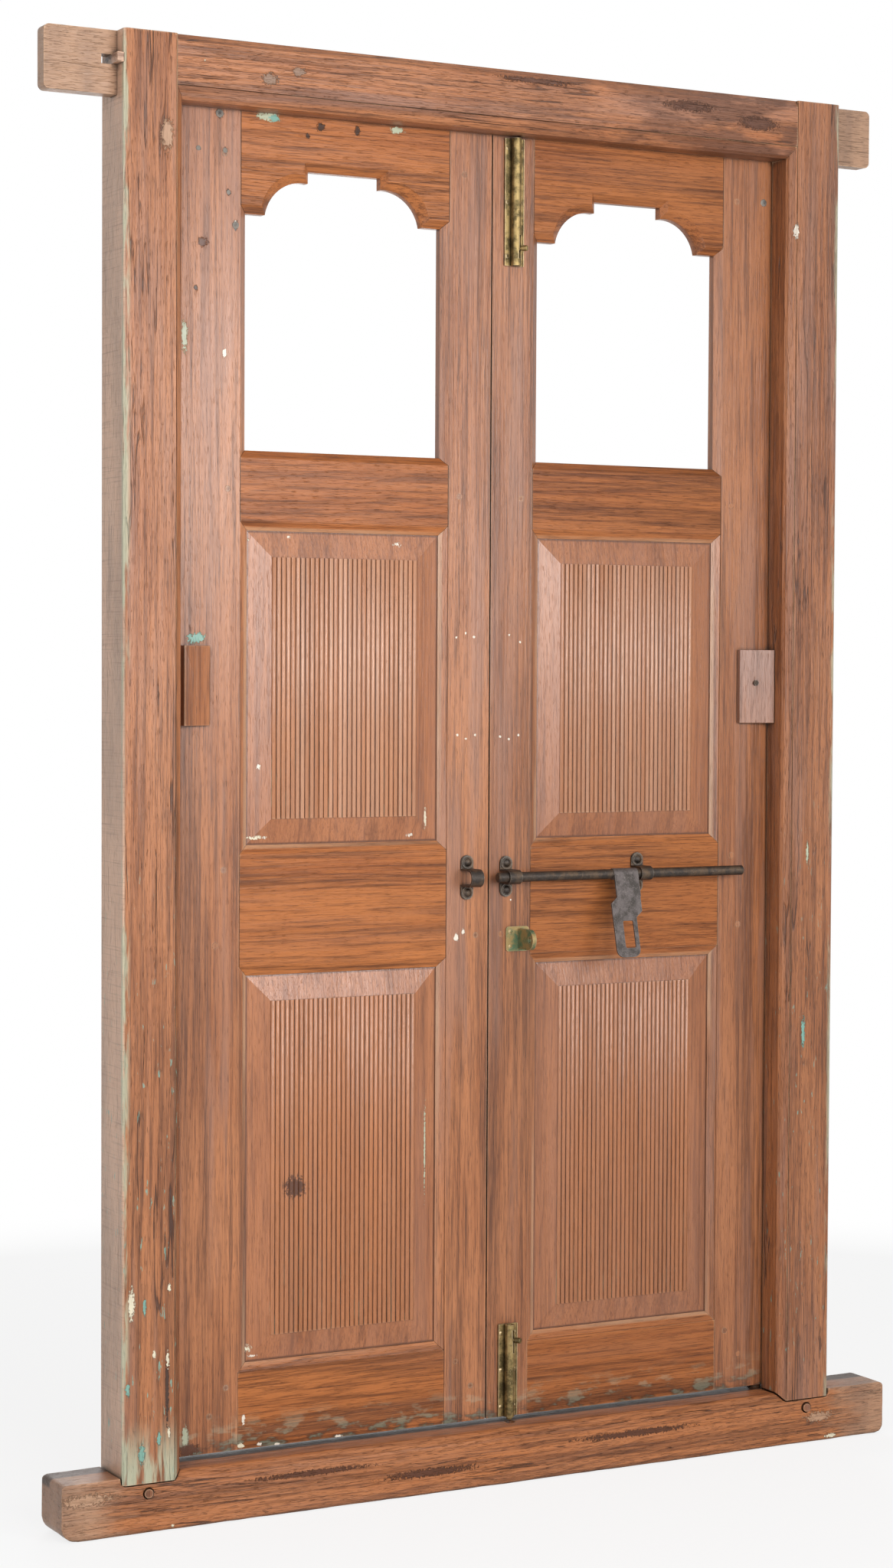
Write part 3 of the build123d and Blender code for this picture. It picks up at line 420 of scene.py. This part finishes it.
def reeded(name):
    """Painted highlights on the crests and painted shade in the valleys of one panel's reeds, told apart by
    their depth.
    """
    low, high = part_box(name)
    middle = (low + high) / 2
    half = (high - low) / 2
    # The upper panels get paler painted highlights on their crests than the lower ones
    pale = REED_HIGHLIGHT if "upper" in name else TEAK_GOLD
    pitch = 2 * (half.x - PANEL_FRAME) / REEDS

    def at_depth(graph, depths):
        return graph.band(graph.y, low.y + depths[0], low.y + depths[1])

    def field_and_rim(graph):
        """1 on the reeded field, and 1 on the thin line along the panel's edge."""
        fields = []
        rims = []
        for value, centre, reach in ((graph.x, middle.x, half.x), (graph.z, middle.z, half.z)):
            away = graph.away(value, centre)
            edge = reach - PANEL_FRAME
            fields.append(graph.band(away, edge + FIELD_SOFT, edge - FIELD_SOFT))
            edge = reach - PANEL_RIM
            rims.append(graph.band(away, edge - RIM_LINE[0], edge - RIM_LINE[1]))
        return graph.product(*fields), graph.math("MAXIMUM", *rims)

    def reed_highlight_tint(graph):
        """A painted highlight colour of its own for each reed, between the pale one and pink."""
        number = graph.math("DIVIDE", graph.math("SUBTRACT", graph.x, middle.x - half.x), pitch)
        number = graph.math("FLOOR", number)
        chance = graph.node("ShaderNodeTexWhiteNoise", {"noise_dimensions": "1D"}, W=number)
        return graph.mix(chance.outputs["Value"], pale, TEAK_PINK)

    def paint(graph, colour):
        field, rim = field_and_rim(graph)
        colour = graph.cover(colour, PORE, rim, 0.85)
        colour = graph.cover(colour, TEAK_ORANGE, graph.math("SUBTRACT", 1.0, field), 0.3)
        front = graph.product(field, at_depth(graph, FIELD_DEPTH))
        valley = graph.product(at_depth(graph, REED_VALLEY), front)
        # Painted highlight on the crests and painted shade in the valleys
        colour = graph.cover(colour, reed_highlight_tint(graph), at_depth(graph, REED_CREST), front, 0.62)
        colour = graph.cover(colour, TEAK_LINE, valley, 0.8)
        flakes = graph.band(graph.speckle("reed_flakes"), 0.54, 0.62)
        low_down = graph.band(graph.z, middle.z, low.z + PANEL_FRAME)
        return graph.cover(colour, PALE_GREEN, valley, low_down, flakes, 0.7)
    return paint


def raw_timber(graph, colour, amount, tan, grey):
    """Sawn timber that was never oiled, as much as amount says."""
    raw = graph.mix(graph.band(graph.speckle("raw_clouds"), 0.35, 0.7), tan, grey)
    raw = graph.cover(raw, TEAK_DARK, graph.band(graph.speckle("saw_marks"), 0.5, 0.75), 0.35)
    return graph.mix(amount, colour, raw)


def sides_and_back(graph):
    """1 past the jambs' outer sides and on the frame's back."""
    side = graph.band(graph.math("ABSOLUTE", graph.x), JAMB_SIDE - 0.004, JAMB_SIDE - 0.001)
    back = graph.band(graph.y, FRAME_BACK - 0.0015, FRAME_BACK - 0.0003)
    return graph.math("MAXIMUM", side, back)


def jamb_paint(graph, colour):
    """Raw outer sides, and paint left along the jambs' outer arris and at the left jamb's foot."""
    colour = raw_timber(graph, colour, sides_and_back(graph), RAW_TAN, RAW_GREY)
    flakes = graph.speckle("jamb_flakes")
    arris = graph.band(graph.math("ABSOLUTE", graph.x), JAMB_SIDE - 0.0125, JAMB_SIDE - 0.0025)
    near_front = graph.band(graph.y, FRAME_FRONT + 0.014, FRAME_FRONT + 0.004)
    colour = graph.cover(colour, PALE_GREEN, arris, near_front, graph.band(flakes, 0.44, 0.56), 0.75)
    foot = graph.band(graph.z, SILL_TOP + 0.095, SILL_TOP)
    face = graph.band(graph.y, FRAME_FRONT + 0.008, FRAME_FRONT + 0.002)
    left = graph.band(graph.x, 0.1, -0.1)
    colour = graph.cover(colour, PALE_GREEN, foot, face, graph.band(flakes, 0.36, 0.52), left, 0.8)
    chips = graph.band(graph.speckle("jamb_chips"), 0.66, 0.70)
    return graph.cover(colour, TURQUOISE, graph.band(graph.z, 1.3, 0.5), chips, 0.8)


def head_paint(graph, colour):
    """The head, darker and more mottled towards its right end, with raw horns and back."""
    clouds = graph.band(graph.speckle("head_clouds"), 0.38, 0.56)
    colour = graph.cover(colour, TEAK_DARK, graph.band(graph.x, -0.25, 0.5), clouds, 0.75)
    return raw_timber(graph, colour, sides_and_back(graph), HORN_TAN, HORN_GREY)


def sill_paint(graph, colour):
    """Weathered horns that fade into the oiled front, a raw back, and painted shade on the top under the
    leaves.
    """
    width = graph.math("MULTIPLY_ADD", graph.speckle("horn_drift"), 0.16, graph.math("ABSOLUTE", graph.x))
    horn = graph.product(graph.band(width, 0.70, 0.80), 0.8)
    back = graph.band(graph.y, FRAME_BACK - 0.0045, FRAME_BACK - 0.0015)
    colour = raw_timber(graph, colour, graph.math("MAXIMUM", horn, back), HORN_TAN, HORN_GREY)
    # Painted shade: the sill's top under the leaves is darkened
    behind = graph.band(graph.y, LEAF_FRONT - 0.006, LEAF_FRONT)
    top = graph.band(graph.z, SILL_TOP - 0.020, SILL_TOP - 0.012)
    return graph.cover(colour, GRIME_AND_SHADE, behind, top, 0.85)


def leaf_foot(graph, colour):
    """Green residue and grime along the foot of the leaves."""
    flakes = graph.speckle("foot_flakes")
    low = graph.band(graph.z, LEAF_FOOT + 0.0295, LEAF_FOOT + 0.0035)
    colour = graph.cover(colour, GRIME_AND_SHADE, low, graph.band(flakes, 0.42, 0.6))
    green = graph.band(graph.z, LEAF_FOOT + 0.0645, LEAF_FOOT + 0.0145)
    return graph.cover(colour, PALE_GREEN, green, graph.band(flakes, 0.5, 0.62), 0.3)


def shoulder_lines(side):
    """A thin dark line where each rail meets its stiles."""
    stiles = ("hanging_stile", "meeting_stile") if side == "left" else ("meeting_stile", "hanging_stile")
    edges = []
    for stile, corner, inwards in zip(stiles, (1, 0), (-STICKING, STICKING)):
        edges.append(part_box(f"{side}_{stile}")[corner].x + inwards)

    def paint(graph, colour):
        for edge in edges:
            line = graph.band(graph.away(graph.x, edge), 0.0022, 0.0010)
            colour = graph.cover(colour, PORE, line, 0.75)
        return colour
    return paint


# Metals: base colour, second colour, rubbed colour, and how spotted, rough and metallic each is
METALS = {
    "black_iron": (IRON, IRON_BROWN, IRON_BRIGHT, 0.25, 0.34, 0.85),
    "washer_iron": (IRON, IRON_BROWN, IRON_BRIGHT, 0.5, 0.4, 0.8),
    "hasp_iron": (HASP, IRON, HASP_PALE, 0.6, 0.42, 0.4),
    "old_brass": (BRASS, BRASS_DARK, BRASS_PALE, 0.35, 0.3, 0.85),
    "green_brass": (BRASS, VERDIGRIS, BRASS_PALE, 0.3, 0.4, 0.6),
    "nail_iron": (SLATE, IRON, IRON_BRIGHT, 0.4, 0.5, 0.3),
}
METAL_NODES = {
    "black_iron": ["slide_bar", "slide_keeper", "middle_strap", "end_strap", "keeper_rivets",
                   "strap_rivets", "block_nail"],
    "washer_iron": ["keeper_washers", "strap_washers"],
    "hasp_iron": ["hasp"],
    "old_brass": [f"{bolt}_{part}" for bolt in ("top_bolt", "bottom_bolt")
                  for part in ("plate", "rod", "knob", "screws")],
    "green_brass": ["staple", "staple_plate", "staple_pins"],
}


def metal(name):
    """Old metal: mottled, rubbed bright on its edges, pitted, and with painted shade in its corners."""
    base, second, bright, spots, rough, metallic = METALS[name]
    graph = Surface(name)
    clouds = graph.speckle("metal_clouds")
    pits = graph.speckle("metal_pits")
    colour = graph.mix(graph.band(clouds, 0.4, 0.62), base, second)
    colour = graph.cover(colour, bright, graph.band(pits, 0.58, 0.68), spots)
    edge = graph.band(graph.openness(METAL_EDGE, inside=True), 0.75, 0.4)
    colour = graph.cover(colour, bright, edge, 0.7)
    # Painted shade: darkened in a grime colour where the ambient occlusion finds a corner
    corner = graph.band(graph.openness(METAL_SHADE_REACH), 0.6, 0.2)
    colour = graph.cover(colour, GRIME_AND_SHADE, corner, 0.7)
    dull = graph.math("MULTIPLY_ADD", clouds, 0.3, rough)
    height = graph.math("MULTIPLY_ADD", pits, 0.6, clouds)
    return graph.output(graph.shader(colour, dull, height, 0.0006, metallic))


def dress(names, material, bevel=0.0):
    """Give nodes their material, and soften their arrises where bevel says how wide."""
    for name in names:
        node = NODES[name]
        node.data.materials.clear()
        node.data.materials.append(material)
        if bevel:
            weld = node.modifiers.new("weld", "WELD")
            weld.merge_threshold = 0.00002
            soft = node.modifiers.new("arris", "BEVEL")
            soft.width = bevel
            soft.segments = 2
            soft.limit_method = "ANGLE"
            soft.angle_limit = math.radians(35)
            soft.harden_normals = True


def wear_away(name, cell, depth):
    """Round a timber's arrises and hollow its faces unevenly, inwards only."""
    node = NODES[name]
    even = node.modifiers.new("even", "REMESH")
    even.mode = "VOXEL"
    even.voxel_size = cell
    soft = node.modifiers.new("soft", "SMOOTH")
    soft.iterations = 3
    soft.factor = 0.5
    for width, share in HOLLOWS:
        clouds = bpy.data.textures.new(f"{name}_wear", "CLOUDS")
        clouds.noise_scale = width
        clouds.noise_depth = 2
        hollow = node.modifiers.new("hollow", "DISPLACE")
        hollow.texture = clouds
        hollow.texture_coords = "GLOBAL"
        hollow.strength = depth * share
        hollow.mid_level = 1.0


# Old paint, filler and stains on the front of each piece: x, z, half width and half height, all in mm
DOT = 2.2
MARKS = {
    "left_jamb": [
        (-574, 2099, 12, 26, HORN_TAN), (-571, 215, 3, 58, STAIN), (-570, 262, 3, 14, CREAM),
        (-568, 150, 3, 9, CREAM), (-608, 346, 3, 16, TURQUOISE), (-629, 351, 6, 28, CREAM),
        (-568, 371, 3, 7, CREAM), (-592, 272, 3, 8, CREAM), (-584, 143, 4, 12, TURQUOISE),
        (-612, 122, 6, 18, TURQUOISE), (-635, 222, 4, 13, TURQUOISE),
    ],
    "right_jamb": [
        (557, 2035, 5, 14, FILLER), (590, 1000, 3, 20, PALE_GREEN), (585, 700, 4, 30, TURQUOISE),
    ],
    "head": [
        (-406, 2196, 15, 10, HORN_GREY), (-358, 2211, 13, 8, HORN_GREY), (-513, 2214, 2, 2, CREAM),
        (344, 2222, 50, 9, TEAK_DARK), (57, 2236, 70, 5, TEAK_DARK), (480, 2205, 40, 12, TEAK_DARK),
    ],
    "sill": [
        (626, 43, 34, 10, HORN_TAN), (-561, 7, 3, 3, CREAM), (650, 8, 14, 4, CREAM),
        (-700, 62, 50, 10, HORN_TAN), (-120, 36, 90, 7, TEAK_DARK), (260, 56, 120, 6, TEAK_DARK),
        (-330, 60, 110, 5, TEAK_DARK),
    ],
    "left_hanging_stile": [
        (-464, 2148, 7, 7, SLATE), (-499, 2093, 4, 4, PORE), (-455, 2093, 5, 5, STAIN),
        (-449, 2030, 4, 6, STAIN), (-437, 1981, 4, 9, SLATE), (-437, 1984, 2, 5, FILLER),
        (-492, 1952, 10, 8, TEAK_DARK), (-503, 1882, 4, 5, STAIN), (-522, 1809, 6, 26, PALE_GREEN),
        (-455, 1786, 4, 8, FILLER), (-501, 1351, 17, 9, TURQUOISE), (-517, 122, 6, 22, PALE_GREEN),
        (-512, 104, 20, 12, TEAK_DARK),
    ],
    "left_top_rail": [
        (-381, 2150, 22, 8, PALE_GREEN), (-372, 2148, 10, 6, TURQUOISE), (-293, 2142, 8, 8, STAIN),
        (-316, 2126, 4, 5, STAIN), (-160, 2148, 14, 5, PALE_GREEN), (-230, 2140, 6, 8, STAIN),
    ],
    "left_upper_panel": [
        (-155, 1502, 9, 5, FILLER), (-342, 1509, 4, 3, FILLER), (-412, 1503, 5, 3, CREAM),
        (-394, 1153, 4, 5, FILLER), (-399, 1044, 22, 4, CREAM), (-385, 1044, 4, 4, FILLER),
        (-130, 1043, 8, 5, FILLER), (-103, 1070, 3, 20, CREAM),
    ],
    "left_lower_panel": [
        (-410, 250, 10, 8, CREAM), (-400, 238, 10, 3, FILLER), (-332, 498, 22, 19, TEAK_DARK),
        (-101, 545, 2, 90, PALE_GREEN),
    ],
    "left_meeting_stile": [
        (-51, 1356, DOT, DOT, FILLER), (-34, 1363, DOT, DOT, FILLER), (-19, 1357, DOT, DOT, FILLER),
        (-48, 1201, DOT, DOT, FILLER), (-33, 1195, DOT, DOT, FILLER), (-16, 1201, DOT, DOT, FILLER),
        (-49, 877, 5, 7, FILLER), (-36, 886, 3, 5, FILLER),
    ],
    "right_meeting_stile": [
        (46, 1361, DOT, DOT, FILLER), (66, 1350, DOT, DOT, FILLER), (30, 1198, DOT, DOT, FILLER),
        (46, 1194, DOT, DOT, FILLER), (64, 1200, DOT, DOT, FILLER), (51, 935, 2, 2, FILLER),
    ],
    "right_hanging_stile": [(528, 2086, 6, 6, SLATE)],
    "left_bottom_rail": [
        (-424, 101, 8, 4, CREAM), (-392, 100, 5, 3, FILLER), (-361, 97, 5, 2, FILLER),
        (-254, 97, 8, 3, FILLER), (-419, 142, 3, 9, FILLER),
    ],
}
MARK_DEPTH = 0.012


def marks_on(name, front):
    """The marks of one piece, in metres, on the face at depth front."""
    return [((x / 1000, front, z / 1000), (wide / 1000, MARK_DEPTH, tall / 1000), paint)
            for x, z, wide, tall, paint in MARKS.get(name, ())]


def dress_frame():
    """The frame's timbers and all the pegs. The number in each picks its own figure."""
    for seed, side in ((11, "left"), (12, "right")):
        name = f"{side}_jamb"
        tone = dict(FRAME_TONE, shade=SIDE_PAINTED_SHADE[side])
        jamb = teak(name, "Z", seed, tone, marks_on(name, FRAME_FRONT), jamb_paint)
        dress([name], jamb, FRAME_ARRIS)
    dress(["head"], teak("head", "X", 21, HEAD_TONE, marks_on("head", FRAME_FRONT), head_paint), FRAME_ARRIS)
    dress(["sill"], teak("sill", "X", 31, SILL_TONE, marks_on("sill", FRAME_FRONT), sill_paint))
    wear_away("sill", SILL_CELL, SILL_WEAR)
    dress(["left_head_wedge"], teak("wedge", "X", 41, WEDGE_TONE))
    dress(["left_leaf_pegs", "right_leaf_pegs", "sill_pegs"], teak("pegs", "Z", 71, PEG_TONE))


def dress_leaf(side, first_seed):
    """One leaf: the direction of each member's grain, its tone and what only it has."""
    lines = shoulder_lines(side)
    members = (
        ("hanging_stile", "Z", LEAF_TONE, leaf_foot),
        ("meeting_stile", "Z", LEAF_TONE, leaf_foot),
        ("top_rail", "X", RAIL_TONE, lines),
        ("window_rail", "X", RAIL_TONE, lines),
        ("lock_rail", "X", RAIL_TONE, lines),
        ("bottom_rail", "X", RAIL_TONE, leaf_foot),
        ("upper_panel", "Z", PANEL_TONE, reeded(f"{side}_upper_panel")),
        ("lower_panel", "Z", PANEL_TONE, reeded(f"{side}_lower_panel")),
        ("wedge_block", "Z", BLOCK_TONE[side], None),
    )
    for seed, (member, along, tone, extra) in enumerate(members, first_seed):
        name = f"{side}_{member}"
        tone = dict(tone, shade=SIDE_PAINTED_SHADE[side])
        dress([name], teak(name, along, seed, tone, marks_on(name, LEAF_FRONT), extra), LEAF_ARRIS)


def dress_metal():
    for name, nodes in METAL_NODES.items():
        dress(nodes, metal(name))


# Nail heads on the leaves: x and z in mm, radius in mm and the body that each rides on
NAILS = [(-464, 2148, 6.5, "left_leaf"), (-437, 1981, 5.5, "left_leaf"), (-499, 2093, 4.0, "left_leaf"),
         (-455, 2093, 4.0, "left_leaf"), (-449, 2030, 3.5, "left_leaf"), (528, 2086, 6.0, "right_leaf")]
NAIL_LUMPS = 0.16
NAIL_HEIGHT = 0.22
NAIL_TILT = 0.08


def nail_mesh(name, radius, number):
    """A lumpy, flattened ball. Its number gives it lumps of its own."""
    ball = bmesh.new()
    bmesh.ops.create_uvsphere(ball, u_segments=20, v_segments=12, radius=radius)
    for point in ball.verts:
        point.co *= 1 + NAIL_LUMPS * noise.noise(point.co * 400 + Vector((number, 0, 0)))
        point.co.y *= NAIL_HEIGHT
    for face in ball.faces:
        face.smooth = True
    mesh = bpy.data.meshes.new(name)
    ball.to_mesh(mesh)
    ball.free()
    return mesh


def add_nails():
    """Low, uneven iron heads, hammered almost flush."""
    iron = metal("nail_iron")
    chance = random.Random(5)
    for i, (x, z, radius, body) in enumerate(NAILS):
        nail = bpy.data.objects.new(f"nail_{i}", nail_mesh(f"nail_{i}", radius / 1000, i))
        nail.data.materials.append(iron)
        nail.location = (x / 1000, LEAF_FRONT, z / 1000)
        tip, lean = (chance.uniform(-NAIL_TILT, NAIL_TILT) for _ in range(2))
        nail.rotation_euler = (tip, 0, lean)
        bpy.context.scene.collection.objects.link(nail)
        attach(nail, body)


def add_camera():
    turn, tip, roll = CAMERA_YAW, CAMERA_PITCH, CAMERA_ROLL
    ahead = Vector((math.sin(turn) * math.cos(tip), math.cos(turn) * math.cos(tip), -math.sin(tip)))
    level = Vector((math.cos(turn), -math.sin(turn), 0))
    up = level.cross(ahead)
    right = level * math.cos(roll) + up * math.sin(roll)
    top = up * math.cos(roll) - level * math.sin(roll)
    data = bpy.data.cameras.new("camera")
    data.lens = CAMERA_LENS
    data.sensor_width = SENSOR
    data.clip_end = CAMERA_REACH
    camera = bpy.data.objects.new("camera", data)
    axes = Matrix((right, top, -ahead)).transposed().to_4x4()
    camera.matrix_world = Matrix.Translation(CAMERA_PLACE) @ axes
    bpy.context.scene.collection.objects.link(camera)
    bpy.context.scene.camera = camera


def add_lamp(name, place, target, size, power):
    data = bpy.data.lights.new(name, "AREA")
    data.shape = "RECTANGLE"
    data.size, data.size_y = size
    data.energy = power
    lamp = bpy.data.objects.new(name, data)
    way = Vector(target) - Vector(place)
    lamp.matrix_world = Matrix.Translation(place) @ way.to_track_quat("-Z", "Y").to_matrix().to_4x4()
    bpy.context.scene.collection.objects.link(lamp)


def add_light():
    """Soft boxes, and a world that lights softly but shows as white."""
    for name, lamp in LAMPS.items():
        add_lamp(name, *lamp)
    world = bpy.data.worlds.new("studio")
    bpy.context.scene.world = world
    graph = Graph(world)
    lit, seen = (graph.node("ShaderNodeBackground", None, Color=WHITE, Strength=strength).outputs[0]
                 for strength in (WORLD_STRENGTH, 1.0))
    graph.output(graph.mix_shaders(graph.background_rays(), lit, seen), "ShaderNodeOutputWorld")
    bpy.context.scene.view_settings.view_transform = "Standard"


def floor_material():
    """Pale grit that shows as almost white, and as full white further from the door."""
    graph = Surface("pale_floor")
    grit = graph.speckle("floor_grit")
    lit = graph.shader(graph.mix(grit, FLOOR_DARK, FLOOR_LIGHT), 0.8, grit, 0.0002)
    glow = graph.node("ShaderNodeEmission", None, Color=WHITE, Strength=1.0).outputs[0]
    white = graph.math("MAXIMUM", graph.band(graph.length(graph.place), *FLOOR_FADE), FLOOR_WHITE)
    return graph.output(graph.mix_shaders(graph.product(graph.background_rays(), white), lit, glow))


def add_floor():
    """A pale floor with the door's soft shadow on it."""
    r = FLOOR_REACH
    mesh = bpy.data.meshes.new("floor")
    mesh.from_pydata([(-r, -r, 0), (r, -r, 0), (r, r, 0), (-r, r, 0)], [], [(0, 1, 2, 3)])
    mesh.materials.append(floor_material())
    floor = bpy.data.objects.new("floor", mesh)
    bpy.context.scene.collection.objects.link(floor)


dress_frame()
dress_leaf("left", 51)
dress_leaf("right", 60)
dress_metal()
add_nails()
add_floor()
add_light()
add_camera()
